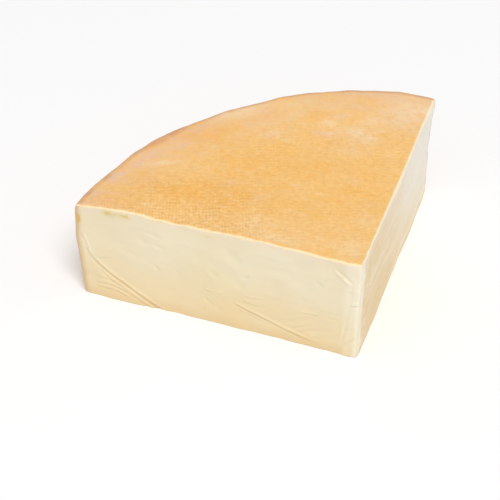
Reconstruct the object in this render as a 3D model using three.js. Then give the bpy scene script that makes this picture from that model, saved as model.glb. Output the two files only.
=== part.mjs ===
// Raclette quarter wheel: one quarter of a washed-rind wheel, cut twice through its middle.
// Millimetres, +Z up. The tip of the quarter, where the wheel's middle was, is at the front right.
// The two cut faces look along -Y and +X, and the rim runs round the back left.
import * as THREE from "three";
import { ParametricGeometry } from "three/addons/geometries/ParametricGeometry.js";
import { mergeGeometries, mergeVertices } from "three/addons/utils/BufferGeometryUtils.js";

// The wheel
const WHEEL_RADIUS = 160;
const TIP_HEIGHT = 65;
const FAR_RISE = 6.4; // how much thicker the quarter is at its far corner than at its tip

// The rim
const SHORTER_AT_RIGHT = 3.3; // the right cut is this much shorter than the front one
const RIM_BULGE = 2.3; // the side swells this much, at the front cut
const BULGE_LEFT_AT_RIGHT = 0.4; // share of that swelling at the right cut
const BULGE_HIGHER = 1.4; // above 1 the side swells most above its middle
const LOWER_EDGE_RADIUS = 1.6;
const UPPER_EDGE_RADIUS = 2.7;
const SHOULDER_WIDTH = 24; // the top starts to fall this far inside the rim
const SHOULDER_DROP = 0.6;

// Where the rim is flatter or fuller than a circle: degrees round from the front cut, spread, height
const RIM_UNEVENNESS = [
  { at: 45, spread: 26, proud: -1.8 },
  { at: 0, spread: 6.5, proud: 1.2 },
  { at: 10, spread: 6.5, proud: -0.5 },
  { at: 27, spread: 6.5, proud: 0.5 },
  { at: 37, spread: 6.5, proud: -0.6 },
  { at: 47, spread: 6.5, proud: -1.4 },
  { at: 58, spread: 6.5, proud: 0.6 },
  { at: 80, spread: 6.5, proud: 0.4 },
  { at: 90, spread: 6.5, proud: -0.8 },
];

// The cuts
const FRONT_EDGE_FADE = 16; // the front edge's waves fade over this distance behind it
const RIGHT_HOLLOW = 0.7; // the right cut's far end is hollow this much
const HOLLOW_START = 0.45; // share of the radius where the hollow begins

// How the front cut's upper edge rises and falls: distance from the tip, height
const FRONT_EDGE = [
  { left: 0, up: 0.4 },
  { left: 12, up: -0.2 },
  { left: 21, up: -0.4 },
  { left: 32, up: 0.5 },
  { left: 46, up: 0.6 },
  { left: 58, up: 1.2 },
  { left: 70, up: 0.9 },
  { left: 82, up: 0.3 },
  { left: 92, up: 0.2 },
  { left: 102, up: -0.4 },
  { left: 112, up: 0 },
  { left: 123, up: 0.8 },
  { left: 134, up: 0.5 },
  { left: 144, up: -0.4 },
  { left: 151, up: -1.2 },
  { left: 158, up: -1.8 },
];

// How finely the surface is divided
const STEPS_OUT = 28;
const STEPS_ROUND = 42;
const STEPS_UP = 12;
const LOWER_EDGE_SHARE = 2 / STEPS_UP; // share of the steps up the rim that round its lower edge
const UPPER_EDGE_SHARE = 3 / STEPS_UP;

const QUARTER_TURN = Math.PI / 2;
const RIND_COLOUR = "#f0bf7d";

const smooth = (value) => THREE.MathUtils.smoothstep(value, 0, 1);

// Radius of the wheel's edge, turn going from 0 at the front cut to 1 at the right cut
function edgeRadius(turn) {
  const degrees = 90 * turn;
  const uneven = RIM_UNEVENNESS.map(
    ({ at, spread, proud }) => proud * Math.exp(-(((degrees - at) / spread) ** 2) / 2),
  );
  return WHEEL_RADIUS - SHORTER_AT_RIGHT * turn + uneven.reduce((sum, part) => sum + part, 0);
}

// How much the front edge rises at this distance from the tip: each point of the list passes
// smoothly into the next one, and the last one holds beyond its end
function frontEdge(left) {
  const after = FRONT_EDGE.findIndex((point) => point.left > left);
  if (after < 1) {
    return after < 0 ? FRONT_EDGE.at(-1).up : FRONT_EDGE[0].up;
  }
  const [from, to] = [FRONT_EDGE[after - 1], FRONT_EDGE[after]];
  const share = smooth((left - from.left) / (to.left - from.left));
  return THREE.MathUtils.lerp(from.up, to.up, share);
}

// Height of the top face, from the distances left of the tip and behind the front cut
function topHeight(left, behind) {
  const slope = FAR_RISE * (behind / WHEEL_RADIUS) ** 2;
  const edge = frontEdge(left) * Math.exp(-behind / FRONT_EDGE_FADE);
  const inside = WHEEL_RADIUS - Math.hypot(left, behind);
  const shoulder = SHOULDER_DROP * Math.max(0, 1 - inside / SHOULDER_WIDTH) ** 2;
  return TIP_HEIGHT + slope + edge - shoulder;
}

// The rim's section: how far it is inset and how high it is, rise going from 0 at the base to 1
// at the top. Both edges are quarter circles, and the side between them is straight.
function rimSection(rise, height) {
  if (rise < LOWER_EDGE_SHARE) {
    const angle = (rise / LOWER_EDGE_SHARE) * QUARTER_TURN;
    return {
      inset: LOWER_EDGE_RADIUS * (1 - Math.sin(angle)),
      up: LOWER_EDGE_RADIUS * (1 - Math.cos(angle)),
    };
  }
  if (rise > 1 - UPPER_EDGE_SHARE) {
    const angle = ((1 - rise) / UPPER_EDGE_SHARE) * QUARTER_TURN;
    return {
      inset: UPPER_EDGE_RADIUS * (1 - Math.sin(angle)),
      up: height - UPPER_EDGE_RADIUS * (1 - Math.cos(angle)),
    };
  }
  const share = (rise - LOWER_EDGE_SHARE) / (1 - UPPER_EDGE_SHARE - LOWER_EDGE_SHARE);
  const side = height - LOWER_EDGE_RADIUS - UPPER_EDGE_RADIUS;
  return { inset: 0, up: LOWER_EDGE_RADIUS + share * side };
}

// A point of the quarter: out goes from 0 at the tip to 1 at the rim, turn from the front cut to
// the right cut, and rise from the base to the top. The quarter's surface is where one of them is
// 0 or 1. The tip's upright edge is at x = 0 and y = 0.
function placePoint(out, turn, rise, target) {
  const angle = turn * QUARTER_TURN;
  const reach = Math.sin(out * QUARTER_TURN); // finer steps towards the rim
  const radius = edgeRadius(turn);
  const edgeHeight = topHeight(radius * Math.cos(angle), radius * Math.sin(angle));
  const section = rimSection(rise, edgeHeight);
  const upShare = section.up / edgeHeight;
  const swelling =
    RIM_BULGE * (1 - (1 - BULGE_LEFT_AT_RIGHT) * turn) * Math.sin(Math.PI * upShare ** BULGE_HIGHER);
  const distance = reach * (radius - section.inset + swelling);
  const left = distance * Math.cos(angle);
  const behind = distance * Math.sin(angle);
  const height = topHeight(left, behind) * THREE.MathUtils.lerp(rise, upShare, reach);
  const hollow =
    RIGHT_HOLLOW *
    smooth((reach - HOLLOW_START) / (1 - HOLLOW_START)) *
    Math.sin(Math.PI * upShare) *
    smooth(12 * turn - 11);
  target.set(-left - hollow, behind, height);
}

// The five sides of the quarter, each with its outer side to the right of its two directions
const topFace = (turn, out, target) => placePoint(out, turn, 1, target);
const baseFace = (out, turn, target) => placePoint(out, turn, 0, target);
const rimFace = (rise, turn, target) => placePoint(1, turn, rise, target);
const frontCut = (rise, out, target) => placePoint(out, 0, rise, target);
const rightCut = (out, rise, target) => placePoint(out, 1, rise, target);

// At the tip a row of the top and of the base shrinks to one point, so its triangles with two
// equal corners are left out
function withoutEmptyTriangles(geometry) {
  const corners = geometry.index.array;
  const kept = [];
  for (let i = 0; i < corners.length; i += 3) {
    const [a, b, c] = corners.slice(i, i + 3);
    if (a !== b && b !== c && c !== a) {
      kept.push(a, b, c);
    }
  }
  geometry.setIndex(kept);
  return geometry;
}

// One closed body from the five sides, their shared edges merged
function quarterGeometry() {
  const sides = [
    new ParametricGeometry(topFace, STEPS_ROUND, STEPS_OUT),
    new ParametricGeometry(baseFace, STEPS_OUT, STEPS_ROUND),
    new ParametricGeometry(rimFace, STEPS_UP, STEPS_ROUND),
    new ParametricGeometry(frontCut, STEPS_UP, STEPS_OUT),
    new ParametricGeometry(rightCut, STEPS_OUT, STEPS_UP),
  ];
  const joined = mergeGeometries(sides);
  joined.deleteAttribute("normal");
  joined.deleteAttribute("uv");
  return withoutEmptyTriangles(mergeVertices(joined, 1e-3));
}

// The origin is the middle of the ground that the quarter's box covers
function centredOnItsBase(geometry) {
  geometry.computeBoundingBox();
  const middle = geometry.boundingBox.getCenter(new THREE.Vector3());
  geometry.translate(-middle.x, -middle.y, -geometry.boundingBox.min.z);
  geometry.computeVertexNormals();
  return geometry;
}

const quarter = new THREE.Mesh(
  centredOnItsBase(quarterGeometry()),
  new THREE.MeshStandardMaterial({ color: RIND_COLOUR, roughness: 0.6, metalness: 0 }),
);
quarter.name = "raclette_quarter";

const part = new THREE.Group();
part.add(quarter);

export default part;
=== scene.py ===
"""Raclette quarter wheel: a quarter of a washed-rind wheel, cut twice through its middle.

The quarter is one closed mesh. Its walls are one grid that runs round the footprint, from the tip
along the front cut, round the rim and back along the right cut. Its top and its base are grids of
their own, sewn to the walls. The paste on the cuts and the rind everywhere else are two materials.
"""
from collections import namedtuple
from functools import partialmethod
from math import cos, pi, radians, sin, sqrt, tau

import bpy
import numpy as np
from mathutils import Matrix, Vector


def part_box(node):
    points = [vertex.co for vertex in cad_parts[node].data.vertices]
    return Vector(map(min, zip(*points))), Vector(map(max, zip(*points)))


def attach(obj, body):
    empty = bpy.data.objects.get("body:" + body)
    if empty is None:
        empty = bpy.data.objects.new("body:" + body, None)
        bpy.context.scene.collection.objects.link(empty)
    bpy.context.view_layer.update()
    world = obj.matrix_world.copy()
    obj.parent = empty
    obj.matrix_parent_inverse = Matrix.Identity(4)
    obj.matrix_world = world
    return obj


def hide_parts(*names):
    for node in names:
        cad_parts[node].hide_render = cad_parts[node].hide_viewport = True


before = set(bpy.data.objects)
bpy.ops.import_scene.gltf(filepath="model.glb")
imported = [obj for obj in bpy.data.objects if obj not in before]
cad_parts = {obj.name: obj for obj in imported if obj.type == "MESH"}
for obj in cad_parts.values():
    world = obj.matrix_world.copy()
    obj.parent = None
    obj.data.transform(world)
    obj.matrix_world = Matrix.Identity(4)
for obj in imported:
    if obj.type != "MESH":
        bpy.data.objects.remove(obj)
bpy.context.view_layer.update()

bl_info = {
    "name": "Raclette quarter wheel",
    "version": (1, 0, 0),
    "blender": (4, 5, 0),
    "location": "3D View > Sidebar > Cheese",
    "description": "Builds a quarter of a raclette wheel and the plain stage that it is shown on",
    "category": "Add Mesh",
}

NODE = "raclette_quarter"
MM = 0.001
LOW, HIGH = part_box(NODE)
TIP_X, TIP_Y = HIGH.x, LOW.y  # the tip's upright edge, where the two cuts meet

# The shape, in millimetres
WHEEL_RADIUS = 160
TIP_HEIGHT = 65
FAR_RISE = 6.4
SHORTER_AT_RIGHT = 3.3
RIM_BULGE = 2.3
BULGE_LEFT_AT_RIGHT = 0.4
BULGE_HIGHER = 1.4
LOWER_EDGE_RADIUS = 1.6
UPPER_EDGE_RADIUS = 2.7
SHOULDER_WIDTH = 24
SHOULDER_DROP = 0.6
RIGHT_HOLLOW = 0.7
HOLLOW_START = 0.45
HOLLOW_NARROWNESS = 12  # it fades over one part in this many of the way round

# Where the rim is flatter or fuller than a circle: degrees round from the front cut, spread, height
RIM_UNEVENNESS = (
    (45, 26, -1.8), (0, 6.5, 1.2), (10, 6.5, -0.5), (27, 6.5, 0.5), (37, 6.5, -0.6), (47, 6.5, -1.4),
    (58, 6.5, 0.6), (80, 6.5, 0.4), (90, 6.5, -0.8),
)

# How the front cut's upper edge rises and falls: distance from the tip, height
FRONT_EDGE = (
    (0, 0.4), (12, -0.2), (21, -0.4), (32, 0.5), (46, 0.6), (58, 1.2), (70, 0.9), (82, 0.3), (92, 0.2),
    (102, -0.4), (112, 0), (123, 0.8), (134, 0.5), (144, -0.4), (151, -1.2), (158, -1.8),
)
FRONT_EDGE_FADE = 16

# How finely the surface is divided
FRONT_STEPS = 300
RIM_STEPS = 160
RIGHT_STEPS = 190
WALL_ROWS = 110
LOWER_EDGE_ROWS = 4
UPPER_EDGE_ROWS = 8
TOP_STEPS = 124
BASE_STEPS = 46
PATH_STEPS = 9  # on each stretch of a crease's path
CAP_GAP = 0.45  # the grids of the top and the base end this close inside the edge
CAP_FOLLOWS = 3  # and follow the cuts' relief over about this distance

# Uneven layers of the top and the rim: height as a share of the rind's lumps, wave length, seed
WAVE_COUNT = 14
TOP_LUMPS = ((1, 34, 3), (0.5, 12, 4), (0.22, 5, 5))
RIM_LUMPS = ((1, 38, 21), (0.6, 13, 22))
RIM_BANDS = ((0.8, 17, 23),)
BAND_STRETCH = 6  # how much longer the bands are than they are high

# A crease pressed into a cut: its path in mm from the tip and up, the height of the fold that
# stands beside it, the depth of its groove, and how wide each is
Crease = namedtuple("Crease", "path fold groove width")
# A dent or a hole in a cut: its place, its half length and half height, its turn and its depth
Dent = namedtuple("Dent", "along up long high turn depth")
# A cut: its creases and dents, the height of the wire's streaks, and the first of its three seeds
Cut = namedtuple("Cut", "creases dents streaks seed")

# A crease's section, in shares of its width: how far above its line the fold stands, how far below
# it the groove lies and how wide that is, and how far out the crease is worked out
FOLD_ABOVE = 0.5
GROOVE_BELOW = 0.9
GROOVE_WIDTH = 0.8
CREASE_REACH = 4
FADE_AT_START = 0.16  # a crease's ends fade over these shares of its path
FADE_AT_END = 0.24
DENT_ROUNDNESS = 1.3
DENT_SPREAD = 1.2
WIRE_LENGTH = 5  # the streaks' wave length up the cut, and how much longer they are than high
WIRE_STRETCH = 12

FRONT_CREASES = [Crease(*row) for row in (
    (((159.4, 43), (157.6, 39.4), (156, 34.5), (155.2, 30)), 0.42, 0.2, 0.9),
    (((156.6, 33.4), (155.2, 30.2), (153.4, 28.2)), 0.5, 0.5, 1.3),
    (((156.4, 30), (151.4, 25), (147, 21.4), (142.6, 18.1), (134.8, 13.2), (125, 6.9), (118, 2.7),
      (112, 0), (104, -3.4)), 0.66, 0.8, 1.2),
    (((150.6, 21.4), (143.6, 15), (135, 9.6), (126.6, 4.1), (120, 0), (113, -4)), 0.5, 0.5, 1),
    (((151, 28.2), (146.8, 28.7), (140.8, 30.4)), 0.3, 0.3, 0.8),
    (((153.7, 9.6), (146.1, 11), (137.6, 8.9), (126.9, 3.6)), 0.46, 0.4, 0.95),
    (((154, 6.6), (145.1, 7.5), (139.1, 6.6), (130.9, 2.8)), 0.4, 0.36, 0.85),
    (((153, 14.2), (146, 14.4), (140, 12.3)), 0.26, 0.24, 1),
    (((88, 23.4), (82.2, 23), (76.4, 23.9)), 0.42, 0.3, 1.1),
    (((87, 18.2), (84, 15.6), (81.3, 14)), 0.1, 0.36, 1.6),
    (((64.8, 24.9), (58, 25.4), (51.7, 26.1)), 0.2, 0.32, 0.85),
    (((66, 21.6), (59, 20.4), (52, 20.9)), 0.16, 0.28, 0.85),
    (((71.8, 18.4), (66.7, 17.1), (58.6, 14.4), (49.4, 11), (38, 7.5), (28.3, 5.1),
      (19.8, 4.5)), 0.58, 0.5, 0.95),
    (((70.4, 15.6), (64, 13.6), (57, 11.2), (50, 8.4)), 0.24, 0.24, 0.8),
    (((33.7, 22.9), (27.1, 23.6), (21.8, 24.2)), 0.3, 0.36, 0.8),
    (((17.6, 24.6), (14.6, 24.4), (12, 25.2)), 0.2, 0.3, 1),
    (((46, 12.6), (38.1, 15.7), (29.8, 20.6)), 0.2, 0.34, 1.1),
    (((40, 10.4), (31, 13.6), (22, 18.8)), 0.2, 0.32, 1.1),
    (((35.1, 8.5), (26.8, 12.3), (17.5, 16.6)), 0.22, 0.34, 1.1),
    (((28, 6.6), (20, 9.2), (13, 12.6)), 0.16, 0.26, 1.1),
    (((15, 58.2), (9.8, 54.2), (4.6, 49.4)), -0.5, -0.6, 1),
    (((7.6, 25.5), (8.4, 19.5), (9.2, 13), (9.8, 6)), 0.1, 0.45, 1.1),
    (((5.2, 36.2), (3, 37), (0.9, 37.6)), 0.4, 0.5, 0.75),
    (((8.5, 6.4), (5, 10.9), (1.8, 14.9)), 0.2, 0.55, 0.85),
    (((8.8, 18.6), (5.4, 19.6), (1.6, 22)), 0.12, 0.3, 1),
)]

FRONT_DENTS = [Dent(*row) for row in (
    (115.6, 30.2, 2.2, 0.95, -42, 0.6), (115.6, 53.2, 4.2, 1.2, -14, 0.36),
    (122.4, 47.4, 2.8, 2.2, -30, 0.34), (112.8, 45.6, 3, 1.5, -10, 0.3),
    (130.2, 36.4, 5.5, 1.2, -8, 0.2), (102.9, 31, 2.4, 1.2, -35, 0.3), (81.2, 35.4, 2.6, 1.8, -35, 0.4),
    (70.2, 49.6, 5.6, 3.2, -50, 0.55), (63, 38.4, 2, 0.9, 26, 0.6), (67.4, 32.6, 3.2, 2.4, -50, 0.4),
    (43.6, 47.6, 6.4, 2, 8, 0.4), (34.6, 55, 3.6, 2.2, 10, 0.36), (50.6, 54.4, 3, 1.6, -10, 0.2),
    (23, 45.8, 2.6, 1.4, -38, 0.4), (44.6, 37.8, 7, 2.4, -20, 0.14),
    (92, 53, 3.4, 1.2, -16, 0.16), (80, 11.6, 2.2, 1.6, 0, 0.24),
    (106, 15, 4, 1.8, -24, 0.18),
)]

RIGHT_CREASES = [Crease(*row) for row in (
    (((2.6, 3.4), (6.1, 13), (10.8, 19.6), (14.8, 25), (21, 26.9)), 0.9, 0.6, 1.1),
    (((4, 5), (40, 5.4), (80, 5.2), (120, 5.8), (156, 5.4)), 0.7, 0.6, 1.2),
    (((104, 9.6), (122, 11.2), (140, 11.6), (154, 11.2)), 0.8, 0.6, 1.1),
    (((30, 11.6), (42, 19.5), (51.2, 26.1), (65, 31.6), (84, 34.4)), 0.4, 0.3, 1.5),
    (((16.5, 60.4), (12.4, 54.6), (7.6, 50.4)), 0.6, 0.7, 1.1),
    (((8.6, 49.4), (8.2, 42), (9.4, 33.6), (9, 26)), 0.3, 0.6, 1.4),
    (((15.6, 61), (14.2, 48), (15.8, 34)), 0.5, 0.6, 1.8),
    (((27, 61), (24.6, 52), (25.2, 43)), 0.4, 0.5, 2),
    (((152.4, 38.2), (146.6, 31.6), (137.4, 24.8), (125.6, 18.6), (113, 14.2)), 0.6, 0.5, 1),
    (((153, 27.6), (145.2, 22.2), (136, 17.8)), 0.4, 0.36, 0.95),
    (((154, 17.2), (146, 15.4), (137, 13.8)), 0.36, 0.3, 0.95),
    (((96, 23.4), (88.6, 22.2), (80.8, 23.4)), 0.36, 0.34, 1),
    (((72, 14.4), (63.4, 11.8), (52, 10.4)), 0.4, 0.32, 0.95),
    (((48, 17.2), (40.6, 14.2), (33, 13.4)), 0.26, 0.28, 0.95),
    (((28, 40.6), (36, 43.4), (47, 44.2)), 0.2, 0.24, 1.3),
)]

RIGHT_DENTS = [Dent(*row) for row in (
    (32.4, 49.8, 1.1, 0.8, 15, 0.8), (58.6, 40.4, 2.6, 1.2, 32, 0.34), (74.2, 52.6, 3.8, 1.2, 12, 0.26),
    (90.4, 42.2, 2.2, 1.3, 38, 0.3), (104.8, 56.2, 1, 0.8, 0, 0.7), (117.2, 36.8, 3, 1.4, 30, 0.3),
    (132.6, 50.8, 4.6, 1.5, 16, 0.22), (44.8, 57.6, 3, 1.1, 8, 0.2), (68.4, 21.6, 2.4, 1.4, 24, 0.18),
    (142, 60.4, 2.4, 1.6, 30, 0.2),
)]

FRONT_CUT = Cut(FRONT_CREASES, FRONT_DENTS, 0.028, 41)
RIGHT_CUT = Cut(RIGHT_CREASES, RIGHT_DENTS, 0.06, 61)

# The strip beside the tip's edge that stands proud of the front cut: the heights and the distances
# from the tip of its left side, how proud it stands, how wide its slope is, and where it ends
STRIP_UP = (0, 8, 15, 25.5, 31.7, 43.8, 52)
STRIP_LEFT = (9.6, 9.3, 8.5, 7.3, 6, 5.5, 5.2)
STRIP_RISE = 0.34
STRIP_SLOPE = 1.5
STRIP_TOP = 56
STRIP_FADE = 12

# The print of the cloth: its turn from the front cut, and its columns' pitch as a share of its rows'
CLOTH_TURN = 20
COLUMN_SHARE = 0.68
WIPE_TURN = -18  # the way that the rind was wiped

# The finest relief, which is bump: the rind's grain and pits, how much deeper the pits are on the
# rim's side, and the paste's soft unevenness and curd
GRAIN_HEIGHT = 0.12 * MM
PIT_DEPTH = 0.15 * MM
SIDE_PIT_DEPTH = 0.36 * MM
SOFT_HEIGHT = 0.14 * MM
CURD_HEIGHT = 0.02 * MM
GLOW_DEPTH = 1 * MM  # how far light goes under the surface

# Ochre blotches on the front cut: distance from the tip, height, half length, half height, strength
BLOTCHES = (
    (141.6, 61, 3.4, 2, 1), (136.5, 62, 3.4, 1.2, 0.4), (131, 61.8, 2.8, 1.5, 0.95),
    (84.2, 61, 2.6, 1, 0.35), (160.2, 53.1, 1.3, 3, 1.6), (87.9, 8.9, 2.2, 1.4, 0.35),
    (112, 63.4, 4, 1, 0.3), (98, 62.8, 3.4, 0.9, 0.25), (86, 36, 18, 15, 0.17),
)

# The lips where two faces meet, each with how far it reaches
LIP_DROP = 0.25
LIP_REACH = 0.6
KEPT_FLAT = 1  # up to this height the lips lower nothing
TIP_ROUND = 0.95
TIP_ROUND_REACH = 1.6
FOOT_FLARE = 0.22  # the paste spreads this much where it stands
FOOT_FLARE_REACH = 2.2

# The lean below the long crease at the front's left: how far out, where it starts left of the tip
# and how that moves with height, how wide it is, and the height where it ends
LOWER_LEFT_FLARE = 0.9
LEAN_START = 112
LEAN_SLOPE = 1.35
LEAN_WIDTH = 22
LEAN_TOP = 26

# A smear on the top's rind: its place from the tip, its half length and half width, its turn from
# the front cut's direction, and how pink, pale, golden or orange it is
Smear = namedtuple("Smear", "left behind long wide turn pink pale gold orange", defaults=(0, 0, 0, 0))
SMEARS = [Smear(*row) for row in (
    (141, 62, 9, 2.6, 58, 0, 0, 0, 0.8), (133, 76, 9, 2.4, 60, 0, 0, 0, 0.7),
    (151, 30, 10, 2, 78, 0, 0, 0, 0.35), (137, 53, 10, 5, 60, 0.8), (144, 38, 11, 3.4, 66, 0.9),
    (125, 66, 9, 4, 55, 0.6, 0.1), (104, 108, 17, 7, 48, 0.5, 0.6), (74, 124, 12, 5, 30, 0.4, 0.4),
    (129, 47, 9, 2.4, 25, 0, 0.7), (150, 27, 5, 3, 80, 0.7), (47, 119, 6, 3.4, 20, 0.6, 0.3),
    (52, 102, 7, 3.2, 10, 0.6, 0.2), (53, 111, 5, 3, 20, 0, 0.7), (64, 118, 8, 2.6, 20, 0, 0, 0.3, 0.15),
    (37, 109, 11, 4.6, 15, 0.3, 0.55), (12, 134, 16, 15, 10, 0.7, 0.6), (151, 30, 5, 8, 0, 0.4, 0.3),
    (28, 104, 9, 6, 10, 0.3, 0.4), (50, 146, 16, 4, 20, 0.5, 0.1, 0, 0.1),
    (22, 154, 12, 2.2, 8, 0.2, 0, 0, 0.4), (112, 62, 6, 3.4, 30, 0.3, 0.1), (85, 42, 6, 3.2, 20, 0.3),
    (68, 36, 6, 3.4, 70, 0.3, 0.1), (26, 65, 7, 4, 20, 0.2, 0.1), (30, 121, 8, 4, 20, 0.2, 0.4),
    (80, 92, 12, 5, 30, 0.3, 0.3), (60, 14, 12, 6, 0, 0, 0.3), (10, 12, 8, 8, 0, 0, 0.35),
    (88, 30, 24, 14, 0, 0, 0, 0.7, 0.1), (122, 22, 20, 10, 14, 0, 0, 0.6), (112, 46, 12, 8, 14, 0, 0.2),
    (112, 82, 14, 10, 40, 0, 0, 0.8), (66, 66, 30, 13, 15, 0, 0, 0.45), (22, 62, 14, 18, 0, 0, 0, 0.4),
    (148, 7, 8, 6, 0, 0, 0, 0.6, 0.1), (84, 101, 12, 4, 30, 0, 0.3), (55, 127, 8, 4, 22, 0.5, 0.3),
    (73, 113, 9, 4.4, 32, 0.2, 0.35), (115, 101, 7, 4, 50, 0.5, 0.3), (5, 139, 7, 6, 10, 0.3, 0.4),
    (50, 137, 8, 3.4, 18, 0.3, 0.2), (48, 5, 14, 3.4, 0, 0, 0.4), (126, 74, 8, 3.4, 56, 0, 0, 0.35, 0.12),
    (149, 24, 6, 4, 75, 0.3, 0, 0, 0.12), (8, 32, 8, 7, 0, 0, 0.3), (24, 9, 40, 12, 0, 0, 0.25, 0.3),
    (33, 90, 14, 6, 12, 0.15, 0.25),
)]

# The stage: what the camera looks at, in millimetres left of the tip, behind it and up, and each
# light's direction in degrees, round to the right and up, with its distance and size in metres
LOOKED_AT = (71.5, 29.4, 32)
Light = namedtuple("Light", "azimuth elevation distance size")
KEY_LIGHT = Light(38, 60, 8, 3.7)
FILL_LIGHT = Light(-35, 25, 1.3, 0.9)
SENSOR_WIDTH = 36
FLOOR_HALF = 4


def linear(code):
    """A colour's linear value from its six-digit code: each channel c becomes c / 12.92 where it
    is dark, and ((c + 0.055) / 1.055) to the power 2.4 elsewhere."""
    channels = [int(code[i:i + 2], 16) / 255 for i in (0, 2, 4)]
    return [c / 12.92 if c <= 0.04045 else ((c + 0.055) / 1.055) ** 2.4 for c in channels]


def a_colour(name, description, code):
    """A colour that a user can change."""
    return bpy.props.FloatVectorProperty(
        name=name, description=description, subtype="COLOR", size=3, min=0, max=1, default=linear(code)
    )


def a_number(name, description, default, **settings):
    """A number that a user can change."""
    return bpy.props.FloatProperty(name=name, description=description, default=default, **settings)


def a_length(name, description, millimetres):
    """A length that a user can change, kept in metres."""
    return a_number(name, description, millimetres * MM, min=0, subtype="DISTANCE", unit="LENGTH")


def an_angle(name, description, degrees):
    """An angle that a user can change, kept in radians."""
    return a_number(name, description, radians(degrees), subtype="ANGLE", unit="ROTATION")


class QuarterSizes(bpy.types.PropertyGroup):
    """Sizes of the quarter that a user would change."""

    relief: a_number(
        "Relief", "How deep creases and dents are, as a share of the real ones",
        1, min=0, max=2, subtype="FACTOR",
    )
    rind_lumps: a_length("Rind lumps", "How high the rind's slow unevenness is", 0.14)
    cloth_pitch: a_length("Cloth pitch", "Distance between the threads printed in the rind", 2.6)
    cloth_depth: a_length("Cloth depth", "How deep the threads are printed in the rind", 0.06)
    rind_thickness: a_length("Rind thickness", "Thickness of the rind's line round the cuts", 0.95)


class CheeseColours(bpy.types.PropertyGroup):
    """Colours of the rind and the paste."""

    rind: a_colour("Rind", "The rind's main colour", "F6C478")
    rind_gold: a_colour("Golden rind", "Streaks of deeper yellow", "F5BA5E")
    rind_pink: a_colour("Pink rind", "The rind towards the rim", "EBC2A4")
    # Orange rind, also used as painted shade high on the rim's side
    rind_orange_and_rim_shade: a_colour("Orange rind", "Patches of smear near the rim", "DE9A58")
    # Painted shade: a darker brown line round the rim's upper edge
    rim_edge_shade: a_colour("Brown rind", "The rind round the rim's upper edge", "BF8C6B")
    rind_pale: a_colour("Pale rind", "Pale flecks and thread crests", "F8DCB0")
    paste: a_colour("Paste", "The cut paste", "EDE1C3")
    # Warmer paste in clouds, and painted warm bounce light low on the cuts
    paste_warm_and_bounce_light: a_colour("Warm paste", "Warmer clouds in the paste", "EAD2A3")
    # Deeper paste near the right cut's tip, also used as painted contact shade along the cuts' foot
    paste_deep_and_foot_shade: a_colour("Deep paste", "The right cut's paste near the tip", "E1C38F")
    # Painted reflection: the whitish sheen on the right cut's far end
    far_reflection: a_colour("Pale paste", "The right cut's far end", "EFEBE3")
    # Pale paste, also used as painted highlight and sheen on the right cut, the tip's edge and the strip
    # beside it
    paste_pale_and_highlight: a_colour("Paste at the tip", "The paste at the tip's edge", "F7EFD8")
    paste_edge: a_colour("Paste under the rind", "The paste just under the rind", "F1DCC4")
    rind_line: a_colour("Rind line", "The rind's cut edge", "FDE8BC")
    rim_line: a_colour("Rim line", "The rim's cut edge", "D9B78C")
    ochre: a_colour("Ochre", "Soft ochre blotches under the rind", "DDC468")


class StageSettings(bpy.types.PropertyGroup):
    """The stage: the floor, the light and the camera."""

    floor: a_colour("Floor", "The floor's colour", "FDFDFD")
    world_strength: a_number("Surrounding light", "Brightness of the white surroundings", 0.47, min=0)
    key_power: a_number("Key light", "Power of the large soft light above the right", 415, min=0)
    fill_power: a_number("Fill light", "Power of the soft light at the front left", 0.4, min=0)
    azimuth: an_angle("Camera azimuth", "How far round to the right the camera stands", 20.351)
    elevation: an_angle("Camera elevation", "How steeply the camera looks down", 40.167)
    roll: an_angle("Camera roll", "How far the camera leans", -0.557)
    distance: a_length("Camera distance", "From the camera to what it looks at", 645.8)
    focal_length: a_number("Focal length", "In millimetres, on a 36 mm wide sensor", 84.12, min=1)


def smooth(value):
    """3 v squared less 2 v cubed, with v held between 0 and 1."""
    v = np.clip(value, 0, 1)
    return v * v * (3 - 2 * v)


def uneven(across, along, length, seed):
    """A smooth uneven field about 0 and about 1 high: the sum of sine waves of random heading and
    phase, whose lengths lie between 0.75 and 1.5 of the length given."""
    rng = np.random.default_rng(seed)
    headings = rng.uniform(0, tau, WAVE_COUNT)
    numbers = tau / (length * rng.uniform(0.75, 1.5, WAVE_COUNT))
    phases = rng.uniform(0, tau, WAVE_COUNT)
    total = sum(
        np.sin(number * (cos(heading) * across + sin(heading) * along) + phase)
        for heading, number, phase in zip(headings, numbers, phases)
    )
    return total / sqrt(WAVE_COUNT / 2)


def layered(across, along, layers):
    """Uneven fields laid over each other: for each layer its height times the field of its wave
    length and its seed, summed."""
    return sum(height * uneven(across, along, length, seed) for height, length, seed in layers)


def edge_radius(turn):
    """The wheel's edge as a circle that shortens evenly towards the right cut, plus a bell curve
    for each place where it is flatter or fuller."""
    bells = sum(
        proud * np.exp(-(((90 * turn - at) / spread) ** 2) / 2) for at, spread, proud in RIM_UNEVENNESS
    )
    return WHEEL_RADIUS - SHORTER_AT_RIGHT * turn + bells


def front_edge(left):
    """How much the front edge rises at this distance from the tip: each point of the list passes
    into the next one by 3 v squared less 2 v cubed."""
    at, up = np.array(FRONT_EDGE, float).T
    before = np.clip(np.searchsorted(at, left, side="right") - 1, 0, len(at) - 2)
    share = smooth((left - at[before]) / (at[before + 1] - at[before]))
    return up[before] + (up[before + 1] - up[before]) * share


def top_height(left, behind, lumps):
    """The top's height: the tip's height, rising with the square of the distance behind the front
    cut, plus the front edge's waves that fade behind that cut, less a shoulder that falls with the
    square of the way into it, plus uneven lumps of three sizes."""
    slope = FAR_RISE * (behind / WHEEL_RADIUS) ** 2
    edge = front_edge(left) * np.exp(-behind / FRONT_EDGE_FADE)
    inside = WHEEL_RADIUS - np.hypot(left, behind)
    shoulder = SHOULDER_DROP * np.clip(1 - inside / SHOULDER_WIDTH, 0, None) ** 2
    return TIP_HEIGHT + slope + edge - shoulder + lumps * layered(left, behind, TOP_LUMPS)


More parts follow.
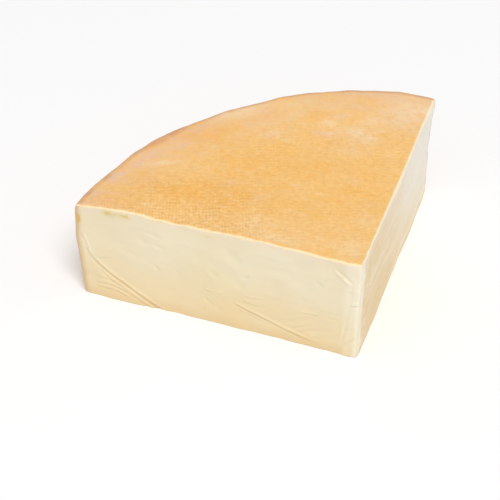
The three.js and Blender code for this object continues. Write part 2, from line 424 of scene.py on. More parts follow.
def rim_section(rise, height):
    """The rim's upright section: a quarter circle for each edge and a straight side between them.
    Gives how far the surface is inset and how high it is."""
    lower, upper = LOWER_EDGE_ROWS / WALL_ROWS, UPPER_EDGE_ROWS / WALL_ROWS
    low = np.clip(rise / lower, 0, 1) * pi / 2
    high = np.clip((1 - rise) / upper, 0, 1) * pi / 2
    side = height - LOWER_EDGE_RADIUS - UPPER_EDGE_RADIUS
    inset = LOWER_EDGE_RADIUS * (1 - np.sin(low)) + UPPER_EDGE_RADIUS * (1 - np.sin(high))
    share = np.clip((rise - lower) / (1 - upper - lower), 0, 1)
    up = LOWER_EDGE_RADIUS * (1 - np.cos(low)) + side * share + UPPER_EDGE_RADIUS * np.cos(high)
    return inset, up


def rim_relief(around, up, lumps):
    """How far the rim stands proud: uneven lumps of two sizes, and slow waves that run level round
    it."""
    bands = layered(around / BAND_STRETCH, up, RIM_BANDS)
    return lumps * (layered(around, up, RIM_LUMPS) + bands)


def quarter_point(out, turn, rise, lumps):
    """A point of the quarter, as its distances left of the tip, behind the front cut and up: out
    goes from 0 at the tip to 1 at the rim, turn from the front cut to the right cut, and rise
    from the base to the top. The rim swells by a sine of its height that is widest above its
    middle, and the right cut's far end is hollow by a plain sine."""
    angle = turn * pi / 2
    radius = edge_radius(turn)
    edge_height = top_height(radius * np.cos(angle), radius * np.sin(angle), lumps)
    inset, up = rim_section(rise, edge_height)
    share_up = up / edge_height
    swell_sine = np.sin(pi * np.clip(share_up, 0, 1) ** BULGE_HIGHER)
    swelling = RIM_BULGE * (1 - (1 - BULGE_LEFT_AT_RIGHT) * turn) * swell_sine
    proud = rim_relief(radius * angle, up, lumps)
    distance = out * (radius - inset + swelling + proud)
    left, behind = distance * np.cos(angle), distance * np.sin(angle)
    up_here = top_height(left, behind, lumps) * (rise + (share_up - rise) * out)
    far = smooth((out - HOLLOW_START) / (1 - HOLLOW_START))
    near_right_cut = smooth(HOLLOW_NARROWNESS * turn - (HOLLOW_NARROWNESS - 1))
    hollow = RIGHT_HOLLOW * far * np.sin(pi * share_up) * near_right_cut
    return left + hollow, behind, up_here


def smooth_path(points):
    """A curve through the points: on each stretch the cubic whose slope at a point is half the
    way between its neighbours."""
    p = np.asarray(points, float)
    ends = np.vstack((2 * p[0] - p[1], p, 2 * p[-1] - p[-2]))
    t = np.linspace(0, len(p) - 1, PATH_STEPS * (len(p) - 1) + 1)
    i = np.minimum(t.astype(int), len(p) - 2)
    f = (t - i)[:, None]
    a, b, c, d = ends[i], ends[i + 1], ends[i + 2], ends[i + 3]
    squared = (2 * a - 5 * b + 4 * c - d) * f ** 2
    return 0.5 * (2 * b + (c - a) * f + squared + (3 * b - a - 3 * c + d) * f ** 3)


def crease_relief(along, up, crease):
    """How far a crease lifts the surface: across its path a low fold above the line and a groove
    below it, each a bell curve, and along it both fade to nothing at the two ends."""
    path, width = smooth_path(crease.path), crease.width
    low, high = path.min(0) - CREASE_REACH * width, path.max(0) + CREASE_REACH * width
    near = (along > low[0]) & (along < high[0]) & (up > low[1]) & (up < high[1])
    here = np.stack((along[near], up[near]), 1)
    start, step = path[:-1], np.diff(path, axis=0)
    share = np.clip(((here[:, None] - start) * step).sum(2) / (step ** 2).sum(1), 0, 1)
    gap = here[:, None] - start - share[..., None] * step
    square = (gap ** 2).sum(2)
    nearest = square.argmin(1)
    row = np.arange(len(here))
    away, course = gap[row, nearest], step[nearest]
    side = np.sign(course[:, 0] * away[:, 1] - course[:, 1] * away[:, 0])
    upward = np.sign(path[0, 0] - path[-1, 0]) or 1
    distance = np.sqrt(square[row, nearest]) * side * -upward
    way = (nearest + share[row, nearest]) / len(start)
    fade = smooth(way / FADE_AT_START) * smooth((1 - way) / FADE_AT_END)
    fold = crease.fold * np.exp(-(((distance - FOLD_ABOVE * width) / width) ** 2))
    groove_shape = ((distance + GROOVE_BELOW * width) / (GROOVE_WIDTH * width)) ** 2
    groove = crease.groove * np.exp(-groove_shape)
    lift = np.zeros_like(along)
    lift[near] = fade * (fold - groove)
    return lift


def drawn_out(a, b, turn, long, wide):
    """How far the place (a, b) is from a mark's middle, squared, in shares of the mark's half
    length and half width, which lie at this turn in degrees."""
    angle = radians(turn)
    x = (a * cos(angle) + b * sin(angle)) / long
    y = (b * cos(angle) - a * sin(angle)) / wide
    return x * x + y * y


def dent_relief(along, up, dent):
    """How far a dent lowers the surface: a round-bottomed bell, drawn out one way."""
    oval = drawn_out(-(along - dent.along), up - dent.up, dent.turn, dent.long, dent.high)
    return -dent.depth * np.exp(-(oval ** DENT_ROUNDNESS) / DENT_SPREAD)


def cut_relief(along, up, cut, strength):
    """How far a cut stands proud of its plane: slow waves, level streaks left by the wire, the
    creases and dents, a foot that spreads where the paste stands, and a tip that is rounded off."""
    first, second, third = cut.seed, cut.seed + 1, cut.seed + 2
    waves = layered(along, up, ((0.16, 46, first), (0.1, 15, second)))
    wire = layered(along / WIRE_STRETCH, up, ((cut.streaks, WIRE_LENGTH, third),))
    marks = sum(crease_relief(along, up, crease) for crease in cut.creases)
    marks = marks + sum(dent_relief(along, up, dent) for dent in cut.dents)
    foot = FOOT_FLARE * np.exp(-up / FOOT_FLARE_REACH)
    tip = TIP_ROUND * np.exp(-along / TIP_ROUND_REACH)
    return waves + wire + strength * marks + foot - tip


def front_relief(left, up, strength):
    """The front cut's relief. Below the long crease at its left, the cut also leans outwards, and
    the strip beside the tip's edge stands proud."""
    lean = smooth((left - LEAN_START - LEAN_SLOPE * up) / LEAN_WIDTH) * smooth(1 - up / LEAN_TOP)
    strip = smooth((np.interp(up, STRIP_UP, STRIP_LEFT) - left) / STRIP_SLOPE)
    strip = strip * smooth((STRIP_TOP - up) / STRIP_FADE)
    extra = LOWER_LEFT_FLARE * lean + STRIP_RISE * strip
    return cut_relief(left, up, FRONT_CUT, strength) + strength * extra


def right_relief(behind, up, strength):
    """The right cut's relief."""
    return cut_relief(behind, up, RIGHT_CUT, strength)


def lip(distance):
    """How much of a lip's drop is left at this distance from its edge."""
    return LIP_DROP * np.exp(-np.abs(distance) / LIP_REACH)


def ochre_blotches(left, up):
    """How ochre the front cut is: for each blotch its strength times a bell, summed."""
    return sum(
        strength * np.exp(-(((left - at) / long) ** 2 + ((up - high) / tall) ** 2))
        for at, high, long, tall, strength in BLOTCHES
    )


def shares(steps):
    """Where each of so many steps starts, as a share."""
    return np.arange(steps) / steps


def wall_grid(sizes):
    """The walls: one column of points for each step round the footprint, one row for each step up.
    Gives the points as left, behind and up, with how far each is from the rind above and from the
    rim, how ochre it is, and its out and rise."""
    out = np.concatenate((shares(FRONT_STEPS), np.ones(RIM_STEPS), 1 - shares(RIGHT_STEPS)))
    turn = np.concatenate((np.zeros(FRONT_STEPS), shares(RIM_STEPS), np.ones(RIGHT_STEPS)))
    column = np.arange(len(out))
    rise = np.arange(WALL_ROWS + 1) / WALL_ROWS
    out, turn, rise = np.broadcast_arrays(out[:, None], turn[:, None], rise[None, :])
    lumps = sizes.rind_lumps / MM
    left, behind, up = map(np.copy, quarter_point(out, turn, rise, lumps))
    below = top_height(left, behind, lumps) - up
    inside = WHEEL_RADIUS * (1 - out) + 0 * up
    paste = np.stack((below, inside, ochre_blotches(left, up) * (turn == 0)), -1)

    front = column <= FRONT_STEPS
    right = (column >= FRONT_STEPS + RIM_STEPS) | (column == 0)
    lips = lip(below), lip(inside)
    push_front = front_relief(left[front], up[front], sizes.relief) - lips[0][front] - lips[1][front]
    push_right = right_relief(behind[right], up[right], sizes.relief) - lips[0][right] - lips[1][right]
    behind[front] -= push_front
    left[right] -= push_right
    cut = front | right
    up[cut] -= lips[0][cut] * (up[cut] > KEPT_FLAT)
    return left, behind, up, paste, out, rise


def cap_grid(steps, rise, sizes):
    """The top or the base: a square grid bent into a quarter disc, so that two of its sides lie
    along the cuts and the other two make the rim. A grid point (a, b) goes to (a times the root
    of 1 less half b squared, b times the root of 1 less half a squared). Its first and last lines
    lie close inside the edge, and it follows the cuts' relief there."""
    first = CAP_GAP / WHEEL_RADIUS
    line = np.concatenate(([first], np.arange(1, steps) / steps, [1 - first]))
    a, b = np.meshgrid(line, line, indexing="ij")
    x, y = a * np.sqrt(1 - b * b / 2), b * np.sqrt(1 - a * a / 2)
    out, turn = np.hypot(x, y), np.arctan2(y, x) / (pi / 2)
    lumps = sizes.rind_lumps / MM
    left, behind, up = quarter_point(out, turn, np.full_like(x, rise), lumps)
    push_front = front_relief(left, up, sizes.relief) * np.exp(-behind / CAP_FOLLOWS)
    push_right = right_relief(behind, up, sizes.relief) * np.exp(-left / CAP_FOLLOWS)
    if rise > 0:
        up = up - lip(behind) - lip(left)
    return left - push_right, behind - push_front, up, out, turn


def smears(left, behind, on_top):
    """How pink, orange, golden and pale the top's rind is: for each smear a bell drawn out along
    its own direction, summed."""
    total = np.zeros(left.shape + (4,))
    for smear in SMEARS:
        oval = drawn_out(smear.left - left, behind - smear.behind, smear.turn, smear.long, smear.wide)
        total += np.exp(-oval)[..., None] * (smear.pink, smear.orange, smear.gold, smear.pale)
    return total * np.asarray(on_top, float)[..., None]


def way_round(front, rim, right):
    """Numbers a ring from 0 to 4: along the front cut, round the rim, and back along the right cut.
    The three are given as shares of their way, the last one falling."""
    return np.concatenate((front, 1 + 2 * rim, 4 - right))


def sew(outer, outer_way, inner, inner_way):
    """Triangles between two closed rings of points that run the same way round. The steps of both
    rings are taken in the order of their middles, and each step makes a triangle with the point
    that the other ring has reached."""
    def middles(way):
        return (way + np.append(way[1:], 4)) / 2
    outer_mid, inner_mid = middles(outer_way), middles(inner_way)
    reached_inner = np.searchsorted(inner_mid, outer_mid) % len(inner)
    reached_outer = np.searchsorted(outer_mid, inner_mid, side="right") % len(outer)
    from_outer = np.stack((outer, np.roll(outer, -1), inner[reached_inner]), 1)
    from_inner = np.stack((np.roll(inner, -1), inner, outer[reached_outer]), 1)
    return np.concatenate((from_outer, from_inner))


def squares_of(here, after):
    """The four corners of each square between a grid's lines and the lines after them."""
    return np.stack((here[:, :-1], here[:, 1:], after[:, 1:], after[:, :-1]), 2)


def cap_faces(grid, ring, ring_way, turn, upward):
    """A cap's faces: its grid's squares, and the triangles that sew it to the walls, with their
    corners in the order that faces them outwards."""
    squares = squares_of(grid[:-1], grid[1:]).reshape(-1, 4)
    share = shares(grid.shape[0] - 1)
    inner = np.concatenate((grid[:-1, 0], grid[-1, :-1], grid[:0:-1, -1], grid[0, :0:-1]))
    arc = np.concatenate((turn[-1, :-1], turn[:0:-1, -1]))
    triangles = sew(ring, ring_way, inner, way_round(share, arc, 1 - share))
    if upward:
        return squares, triangles[:, ::-1]
    return squares[:, ::-1], triangles


def wall_map(left, behind, up):
    """The walls' own map in millimetres, for each corner of each square: the distance round the
    footprint at half height, and the height."""
    middle = up.shape[1] // 2
    step_left = np.diff(left[:, middle], append=left[0, 0])
    step_behind = np.diff(behind[:, middle], append=0)
    around = np.concatenate(([0], np.cumsum(np.hypot(step_left, step_behind))))
    here = np.stack((np.broadcast_to(around[:-1, None], up.shape), up), -1)
    after = np.stack((np.broadcast_to(around[1:, None], up.shape), np.roll(up, -1, axis=0)), -1)
    return squares_of(here, after)


def fill(target, name, values, kind=np.float32):
    """Puts a whole array into one property of all of a mesh's elements."""
    target.foreach_set(name, np.asarray(values, kind).ravel())


def build_quarter(sizes):
    """The whole quarter as one closed mesh, with a map in metres for each side's surface and
    three attributes: to_rind, which the paste's material reads, rind_place, how far out and how
    high a point is, and smears, how pink, orange, golden and pale its rind is."""
    parts = [wall_grid(sizes)]
    left, behind, up = parts[0][:3]
    wall = np.arange(left.size).reshape(left.shape)
    ring_way = way_round(shares(FRONT_STEPS), shares(RIM_STEPS), 1 - shares(RIGHT_STEPS))
    caps = []
    for steps, level, ring in ((TOP_STEPS, 1, wall[:, -1]), (BASE_STEPS, 0, wall[:, 0])):
        l, b, u, out, turn = cap_grid(steps, level, sizes)
        grid = sum(part[0].size for part in parts) + np.arange(l.size).reshape(l.shape)
        parts.append((l, b, u, np.zeros(l.shape + (3,)), out, np.full_like(l, level)))
        caps.append(cap_faces(grid, ring, ring_way, turn, level > 0))
    points = np.concatenate([np.stack(part[:3], -1).reshape(-1, 3) for part in parts])
    to_rind = np.concatenate([part[3].reshape(-1, 3) for part in parts])
    rind_place = np.concatenate([np.stack(part[4:], -1).reshape(-1, 2) for part in parts])
    tints = smears(points[:, 0], points[:, 1], rind_place[:, 1] == 1)

    squares, sewn = zip(*caps)
    wall_faces = squares_of(wall, np.roll(wall, -1, axis=0))
    is_cut = np.ones(len(wall), int)
    is_cut[FRONT_STEPS:FRONT_STEPS + RIM_STEPS] = 0
    quads = np.concatenate((wall_faces.reshape(-1, 4), *squares))
    triangles = np.concatenate(sewn)
    counts = np.concatenate((np.full(len(quads), 4), np.full(len(triangles), 3)))
    material = np.zeros(len(counts), int)
    material[:wall_faces[..., 0].size] = np.repeat(is_cut, WALL_ROWS)
    corners = np.concatenate((quads.ravel(), triangles.ravel()))
    uv = points[corners, :2]
    uv[:wall_faces.size] = wall_map(left, behind, up).reshape(-1, 2)

    place = np.stack((TIP_X - points[:, 0] * MM, TIP_Y + points[:, 1] * MM, points[:, 2] * MM), 1)
    mesh = bpy.data.meshes.new("quarter_wheel")
    mesh.vertices.add(len(place))
    fill(mesh.vertices, "co", place)
    mesh.loops.add(len(corners))
    fill(mesh.loops, "vertex_index", corners, np.int32)
    mesh.polygons.add(len(counts))
    fill(mesh.polygons, "loop_start", np.cumsum(counts) - counts, np.int32)
    fill(mesh.polygons, "material_index", material, np.int32)
    fill(mesh.polygons, "use_smooth", np.ones(len(counts)), bool)
    fill(mesh.uv_layers.new(name="surface").data, "uv", uv * MM)
    for name, kind, field, values in (
        ("to_rind", "FLOAT_VECTOR", "vector", to_rind),
        ("rind_place", "FLOAT2", "vector", rind_place),
        ("smears", "FLOAT_COLOR", "color", tints),
    ):
        fill(mesh.attributes.new(name, kind, "POINT").data, field, values)
    mesh.validate()
    mesh.update()
    return mesh


def opaque(colour):
    """A colour with its fourth channel, or a node's output as it is."""
    return colour if isinstance(colour, bpy.types.NodeSocket) else (*colour, 1)


class Finish:
    """A material and the nodes that are built for it. A value given to a node is a number or
    another node's output. The colour is painted on layer by layer."""

    def __init__(self, name, ground):
        self.material = bpy.data.materials.new(name)
        self.material.use_nodes = True
        self.tree = self.material.node_tree
        self.colour = ground

    def give(self, socket, value):
        """A socket set to a value or joined to another node's output."""
        if isinstance(value, bpy.types.NodeSocket):
            self.tree.links.new(value, socket)
        else:
            socket.default_value = value

    def add(self, kind, inputs=None, **settings):
        """The outputs of a new node of this kind, with its settings and its inputs."""
        node = self.tree.nodes.new("ShaderNode" + kind)
        for name, value in settings.items():
            setattr(node, name, value)
        for name, value in (inputs or {}).items():
            self.give(node.inputs[name], value)
        return node.outputs

    def attribute(self, name):
        """A vector that the mesh carries at its points, as its parts."""
        return self.parts(self.add("Attribute", attribute_name=name)["Vector"])

    def parts(self, vector):
        """A vector's three numbers."""
        return self.add("SeparateXYZ", {0: vector})[:3]

    def stretched(self, vector, scale, turn=0):
        """The coordinates scaled on each axis and turned about the upright one."""
        inputs = {"Vector": vector, "Scale": scale, "Rotation": (0, 0, radians(turn))}
        return self.add("Mapping", inputs)["Vector"]

    def noise(self, vector, scale, detail=3, roughness=0.55, distortion=0):
        """A cloudy value about 0.5, with so many clouds to the metre."""
        return self.add("TexNoise", {
            "Vector": vector, "Scale": scale, "Detail": detail,
            "Roughness": roughness, "Distortion": distortion,
        })["Fac"]

    def ramp(self, value, low, high, to_low=0, to_high=1):
        """The value taken smoothly from one range to another and held at its ends."""
        return self.add("MapRange", {
            "Value": value, "From Min": low, "From Max": high, "To Min": to_low, "To Max": to_high,
        }, interpolation_type="SMOOTHSTEP")["Result"]

    def sum_of(self, operation, a, b=0, c=0):
        """One sum of up to three values."""
        return self.add("Math", {0: a, 1: b, 2: c}, operation=operation)[0]

    sine = partialmethod(sum_of, "SINE")
    plus = partialmethod(sum_of, "ADD")
    less = partialmethod(sum_of, "SUBTRACT")
    over = partialmethod(sum_of, "DIVIDE")
    greater = partialmethod(sum_of, "MAXIMUM")
    at_most = partialmethod(sum_of, "MINIMUM")
    times_plus = partialmethod(sum_of, "MULTIPLY_ADD")  # a times b, plus c

    def times(self, first, *others):
        """All the values multiplied."""
        for other in others:
            first = self.sum_of("MULTIPLY", first, other)
        return first

    def mixed(self, share, a, b, blend_type="MIX"):
        """Two colours mixed, with this share of the second."""
        inputs = {0: share, 6: opaque(a), 7: opaque(b)}
        return self.add("Mix", inputs, data_type="RGBA", blend_type=blend_type)[2]

    def paint(self, colour, *shares):
        """A colour painted over what is there, by the product of its shares."""
        self.colour = self.mixed(self.times(*shares), self.colour, colour)

    def finished(self, inputs):
        """The material, with the painted colour and these inputs given to its shader."""
        shader = self.tree.nodes["Principled BSDF"]
        for name, value in {"Base Color": opaque(self.colour), **inputs}.items():
            self.give(shader.inputs[name], value)
        return self.material

    def glowing(self, height, roughness, weight, radius):
        """The finished material with a height in metres as bump and a soft glow under its surface."""
        bump = self.add("Bump", {"Strength": 1, "Distance": 1, "Height": height})["Normal"]
        return self.finished({
            "Normal": bump, "Roughness": roughness, "Subsurface Weight": weight,
            "Subsurface Radius": radius, "Subsurface Scale": GLOW_DEPTH,
        })


def cloth_print(n, pitch, coarse):
    """The print of a loose-woven cloth, about 0: rows of short dashes, one row for each thread, and
    across them columns that show in places, most where the print is coarse. Both are sines of
    the surface's own map, turned to the cloth's direction and bent, times clouds that let them
    fade."""
    surface = n.add("UVMap", uv_map="surface")["UV"]
    wander = n.add("TexNoise", {"Vector": surface, "Scale": 120, "Detail": 3})["Color"]
    shift = n.add("VectorMath", {0: wander, "Scale": pitch * 0.9}, operation="SCALE")[0]
    moved = n.add("VectorMath", {0: surface, 1: shift}, operation="ADD")[0]
    turned = n.stretched(moved, (1, 1, 1), CLOTH_TURN)
    across, along, _ = n.parts(turned)
    rows = n.sine(n.times(along, tau / pitch))
    columns = n.sine(n.times(across, tau / (COLUMN_SHARE * pitch)))
    dashes = n.ramp(n.noise(n.stretched(turned, (1, 2, 1)), 260, 2), 0.4, 0.64)
    patches = n.ramp(n.noise(turned, 60, 2), 0.38, 0.62, 0.3, 0.9)
    patches = n.times(patches, n.times_plus(coarse, 0.55, 0.2))
    printed = n.ramp(n.noise(turned, 30, 3), 0.38, 0.66, 0.5, 1)
    return n.times(n.plus(n.times(rows, dashes), n.times(columns, patches)), printed)


def rind_material(colours, sizes):
    """Washed rind: apricot smear, more golden in streaks, pinker and paler towards the rim, with
    pale flecks, the print of the cloth, a pale ragged fringe along the cuts and level bands on the
    rim's side. Painted shade makes a browner line round the rim's upper edge and makes the side more
    orange just under it."""
    n = Finish("washed_rind", colours.rind)
    place = n.add("TexCoord")["Object"]
    out, rise, _ = n.attribute("rind_place")
    marks = n.add("Attribute", attribute_name="smears")
    pink_smear, orange_smear, gold_smear = n.add("SeparateColor", {0: marks["Color"]})[:3]
    pale_smear = marks["Alpha"]
    broad = n.noise(place, 17, 2)
    cloud = n.noise(n.stretched(place, (1, 1.7, 2.2), WIPE_TURN), 62, 4, 0.6, 0.4)
    grain = n.noise(n.stretched(place, (1, 1.25, 1), WIPE_TURN), 370, 3, 0.72)
    smear = n.noise(n.stretched(place, (1, 2.6, 3.4), WIPE_TURN + 4), 40, 5, 0.66, 0.8)
    broken = n.noise(n.stretched(place, (1, 1.6, 1), WIPE_TURN), 150, 3, 0.6)
    broken = n.ramp(broken, 0.3, 0.6, 0.35, 1)

    golden = n.times(n.ramp(cloud, 0.42, 0.66), 0.45)
    golden = n.plus(golden, n.times(gold_smear, n.ramp(broken, 0.35, 1, 0.8, 1)))
    n.paint(colours.rind_gold, n.at_most(golden, 1))
    rimward = n.ramp(n.plus(out, n.times(broad, 0.3)), 0.88, 1.2)
    pink = n.times(rimward, n.ramp(smear, 0.36, 0.66, 0.2, 0.75))
    pink = n.greater(pink, n.times(pink_smear, broken))
    n.paint(colours.rind_pink, n.at_most(pink, 1))
    patch = n.times(n.ramp(smear, 0.6, 0.74), n.ramp(out, 0.84, 0.99), 0.45)
    n.paint(colours.rind_orange_and_rim_shade, n.greater(patch, n.times(orange_smear, broken)))
    pale = n.noise(n.stretched(place, (1, 2.2, 1), WIPE_TURN + 2), 48, 4, 0.7)
    pale = n.times(n.ramp(pale, 0.56, 0.74), 0.3)
    n.paint(colours.rind_pale, n.greater(pale, n.times(pale_smear, broken)))

    x, y, _ = n.parts(place)
    to_right, to_front = n.less(TIP_X, x), n.less(y, TIP_Y)
    inward = n.ramp(out, 1, 0.7, 0.4, 1)
    coarse = n.times(n.ramp(to_front, 50 * MM, 6 * MM), n.ramp(to_right, 36 * MM, 70 * MM))
    side = n.times(n.ramp(out, 0.985, 1), n.ramp(rise, 1, 0.96))
    strength = n.times_plus(side, 0.5, n.times(inward, n.times_plus(coarse, 0.5, 0.75)))
    cloth = n.times(cloth_print(n, sizes.cloth_pitch, coarse), strength)
    speckle = n.times(n.less(grain, 0.5), strength)
    for relief, low, high, light, dark in ((cloth, 0.1, 0.9, 0.36, 0.26), (speckle, 0, 0.2, 0.3, 0.2)):
        n.paint(colours.rind_pale, n.ramp(relief, low, high, 0, light))
        n.paint(colours.rind_orange_and_rim_shade, n.ramp(relief, -low, -high, 0, dark))
    n.colour = n.mixed(1, n.colour, n.times_plus(speckle, 0.3, 1), "MULTIPLY")

    fringe = n.times(n.noise(place, 420, 3, 0.7), 2 * MM)
    n.paint(colours.rind_line, n.ramp(n.less(to_front, fringe), 0, -0.9 * MM, 0, 0.8))
    fringe = n.times_plus(n.noise(place, 200, 3, 0.6), 1.4 * MM, 0.3 * MM)
    n.paint(colours.paste_pale_and_highlight, n.ramp(n.less(to_right, fringe), 0.5 * MM, -0.4 * MM, 0, 0.8))
    # Painted shade: a browner line round the rim's upper edge, where its rounded corner turns from the
    # light
    edge = n.times(n.ramp(out, 0.986, 0.999), n.ramp(rise, 0.91, 0.965))
    n.paint(colours.rim_edge_shade, edge, n.ramp(smear, 0.35, 0.65, 0.2, 0.55))
    # The rim's side is more orange: its own colour low down, and painted shade that deepens just under
    # its upper edge
    n.paint(colours.rind_orange_and_rim_shade, side, n.ramp(rise, 0.86, 0.95, 0.28, 0.5))
    level = n.noise(n.stretched(place, (1, 1, 2.6)), 34, 6, 0.72, 0.3)
    n.paint(colours.rind_orange_and_rim_shade, n.ramp(level, 0.48, 0.68, 0, 0.45), side)
    n.paint(colours.rind_pale, n.ramp(level, 0.5, 0.3, 0, 0.3), side)

    height = n.times_plus(grain, GRAIN_HEIGHT, n.times(cloth, sizes.cloth_depth))
    pit_depth = n.times_plus(side, SIDE_PIT_DEPTH, PIT_DEPTH)
    height = n.times_plus(n.noise(place, 190, 3, 0.6), pit_depth, height)
    return n.glowing(height, n.ramp(cloud, 0.35, 0.7, 0.52, 0.7), 0.1, (1, 0.5, 0.2))


def paste_material(colours, sizes):
    """Cut paste: pale and slightly see-through, warmer in clouds, and warmer low down as painted
    bounce light, with painted contact shade along the foot. The right cut goes from warm near the tip
    to pale at its far end as a painted reflection, with painted sheen as pale streaks above and a
    painted highlight as a pale line at its foot. The tip's edge and the strip beside it are pale as
    a painted highlight. Round the edge run a ragged line of rind and a pinker band, and the front
    cut has a few ochre blotches."""
    n = Finish("cut_paste", colours.paste)
    place = n.add("TexCoord")["Object"]
    below, inside, blotch = n.attribute("to_rind")
    x, y, high = n.parts(place)
    to_right, behind = n.less(TIP_X, x), n.less(y, TIP_Y)
    on_right = n.times(n.ramp(to_right, 4 * MM, 1 * MM), n.ramp(behind, 1 * MM, 6 * MM))
    cloud = n.noise(place, 24, 3, 0.5)
    ragged = n.noise(place, 300, 3, 0.6)

    # Warmer in clouds, and painted warm bounce light that grows towards the base
    warm = n.plus(n.ramp(cloud, 0.4, 0.7, 0, 0.25), n.ramp(high, 46 * MM, 6 * MM, 0, 0.75))
    n.paint(colours.paste_warm_and_bounce_light, n.at_most(warm, 1))
    way = n.times_plus(cloud, 64 * MM, n.times_plus(high, 0.6, behind))
    deep = n.times(n.ramp(way, 205 * MM, 98 * MM), on_right)
    n.paint(colours.paste_deep_and_foot_shade, deep, n.ramp(behind, 2 * MM, 30 * MM, 0.68, 0.82))
    # Painted reflection of the white surroundings: the right cut turns pale towards its far end
    n.paint(colours.far_reflection, n.ramp(way, 100 * MM, 204 * MM), on_right, 0.6)
    # Painted sheen: pale streaks high on the right cut
    streak = n.ramp(n.noise(n.stretched(place, (1, 0.16, 1)), 110, 3, 0.6), 0.5, 0.66)
    n.paint(colours.paste_pale_and_highlight, streak, on_right, n.ramp(high, 60 * MM, 44 * MM, 0, 0.3))
    under = n.ramp(n.plus(below, n.times(ragged, 3)), 9, 2)
    n.paint(colours.paste_edge, under, 0.55)
    rimward = n.ramp(n.plus(inside, n.times(ragged, 2)), 6, 1)
    n.paint(colours.rim_line, rimward, 0.8)
    # Painted contact shade: the last few millimetres above the base are darker
    n.paint(colours.paste_deep_and_foot_shade, n.ramp(high, 9 * MM, 1 * MM, 0, 0.6))
    # Painted highlight: a pale line a few millimetres above the right cut's foot
    foot = n.times(n.ramp(high, 7.6 * MM, 6.2 * MM), n.ramp(high, 4 * MM, 5.2 * MM))
    n.paint(colours.paste_pale_and_highlight, foot, n.ramp(behind, 40 * MM, 90 * MM, 0.1, 0.6), on_right)
    # Painted highlight: the tip's edge and the strip beside it are paler
    tip = n.ramp(n.plus(to_right, behind), 4.5 * MM, 1.2 * MM, 0, 0.7)
    strip = n.times(n.ramp(to_right, 11 * MM, 7 * MM, 0, 0.42), n.ramp(behind, 3 * MM, 1 * MM))
    strip = n.times(strip, n.ramp(high, 6 * MM, 44 * MM, 0.6, 1))
    n.paint(colours.paste_pale_and_highlight, n.greater(tip, strip))

    thickness = sizes.rind_thickness / MM
    wavy = n.times_plus(ragged, 1.8 * thickness, 0.1 * thickness)
    rim = n.ramp(n.over(inside, wavy), 2.4, 1.2)
    n.paint(colours.rim_line, rim, 0.7)
    n.paint(colours.rim_line, n.ramp(high, 0.7 * MM, 0.2 * MM, 0, 0.5))
    fleck = n.ramp(n.noise(place, 520, 2), 0.55, 0.68, 0, 0.45)
    line_colour = n.mixed(fleck, colours.rind_line, colours.rind)
    line_colour = n.mixed(n.times(on_right, 0.6), line_colour, colours.paste_pale_and_highlight)
    n.paint(line_colour, n.ramp(n.over(below, wavy), 1.6, 0.9))
    patchy = n.times(blotch, n.ramp(ragged, 0.25, 0.6, 0.4, 1))
    ochre = n.mixed(n.ramp(inside, 5, 2, 0, 0.5), colours.ochre, colours.rind_orange_and_rim_shade)
    n.paint(ochre, n.at_most(patchy, 0.9))

    soft = n.times(n.noise(place, 90, 3), SOFT_HEIGHT)
    height = n.times_plus(n.noise(place, 700, 2), CURD_HEIGHT, soft)
    return n.glowing(height, 0.34, 0.2, (1, 0.6, 0.3))


class CHEESE_OT_quarter(bpy.types.Operator):
    """Build the quarter wheel with its rind and its paste"""

    bl_idname = "cheese.quarter"
    bl_label = "Quarter wheel"

    def execute(self, context):
        sizes, colours = context.scene.quarter_sizes, context.scene.cheese_colours
        quarter = bpy.data.objects.new("quarter_wheel", build_quarter(sizes))
        context.scene.collection.objects.link(quarter)
        for material in (rind_material, paste_material):
            quarter.data.materials.append(material(colours, sizes))
        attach(quarter, "root")
        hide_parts(NODE)
        return {"FINISHED"}


def direction(azimuth, elevation):
    """The way back from what is looked at, so far round to the right of -Y and so far up:
    (sin a cos e, -cos a cos e, sin e)."""
    level = cos(elevation)
    return Vector((sin(azimuth) * level, -cos(azimuth) * level, sin(elevation)))


def area_light(scene, name, target, light, power):
    """A square soft light that looks at the target."""
    data = bpy.data.lights.new(name, "AREA")
    data.shape, data.size, data.energy = "SQUARE", light.size, power
    lamp = bpy.data.objects.new(name, data)
    back = direction(radians(light.azimuth), radians(light.elevation))
    place = Matrix.Translation(target + back * light.distance)
    lamp.matrix_world = place @ back.to_track_quat("Z", "Y").to_matrix().to_4x4()
    scene.collection.objects.link(lamp)


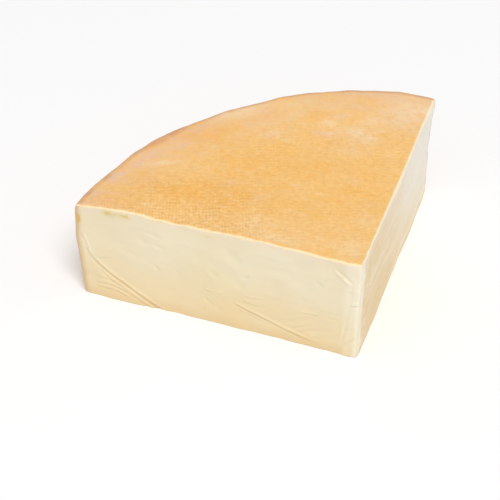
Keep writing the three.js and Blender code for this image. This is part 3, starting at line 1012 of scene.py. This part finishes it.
class CHEESE_OT_stage(bpy.types.Operator):
    """Build the pale floor, the soft light and the camera"""

    bl_idname = "cheese.stage"
    bl_label = "Stage"

    def execute(self, context):
        scene, stage = context.scene, context.scene.stage_settings
        mesh = bpy.data.meshes.new("floor")
        corners = [(FLOOR_HALF * x, FLOOR_HALF * y, 0) for x, y in ((-1, -1), (1, -1), (1, 1), (-1, 1))]
        mesh.from_pydata(corners, [], [(0, 1, 2, 3)])
        floor = bpy.data.objects.new("floor", mesh)
        mesh.materials.append(Finish("pale_floor", stage.floor).finished({"Roughness": 0.9}))
        scene.collection.objects.link(floor)

        scene.world = bpy.data.worlds.new("white_room")
        scene.world.use_nodes = True
        background = scene.world.node_tree.nodes["Background"].inputs
        background["Color"].default_value = (1, 1, 1, 1)
        background["Strength"].default_value = stage.world_strength
        scene.view_settings.view_transform = "Standard"

        left, behind, up = LOOKED_AT
        target = Vector((TIP_X - left * MM, TIP_Y + behind * MM, up * MM))
        area_light(scene, "key_light", target, KEY_LIGHT, stage.key_power)
        area_light(scene, "fill_light", target, FILL_LIGHT, stage.fill_power)

        data = bpy.data.cameras.new("camera")
        data.sensor_width, data.lens = SENSOR_WIDTH, stage.focal_length
        camera = bpy.data.objects.new("camera", data)
        back = direction(stage.azimuth, stage.elevation)
        right = Vector((0, 0, 1)).cross(back).normalized()
        upright = Matrix((right, back.cross(right), back)).transposed().to_4x4()
        lean = Matrix.Rotation(stage.roll, 4, "Z")
        camera.matrix_world = Matrix.Translation(target + back * stage.distance) @ upright @ lean
        scene.collection.objects.link(camera)
        scene.camera = camera
        return {"FINISHED"}


class CHEESE_PT_panel(bpy.types.Panel):
    """The quarter wheel's sizes, colours and stage"""

    bl_label = "Raclette quarter wheel"
    bl_idname = "CHEESE_PT_panel"
    bl_space_type = "VIEW_3D"
    bl_region_type = "UI"
    bl_category = "Cheese"

    def draw(self, context):
        for operator in ("cheese.quarter", "cheese.stage"):
            self.layout.operator(operator)
        for name, group in GROUPS.items():
            for setting in group.__annotations__:
                self.layout.prop(getattr(context.scene, name), setting)


GROUPS = {"quarter_sizes": QuarterSizes, "cheese_colours": CheeseColours, "stage_settings": StageSettings}
CLASSES = (*GROUPS.values(), CHEESE_OT_quarter, CHEESE_OT_stage, CHEESE_PT_panel)


def register():
    for cls in CLASSES:
        bpy.utils.register_class(cls)
    for name, group in GROUPS.items():
        setattr(bpy.types.Scene, name, bpy.props.PointerProperty(type=group))


def unregister():
    for name in GROUPS:
        delattr(bpy.types.Scene, name)
    for cls in reversed(CLASSES):
        bpy.utils.unregister_class(cls)


def main():
    register()
    bpy.ops.cheese.stage()
    bpy.ops.cheese.quarter()


if __name__ == "__main__":
    main()
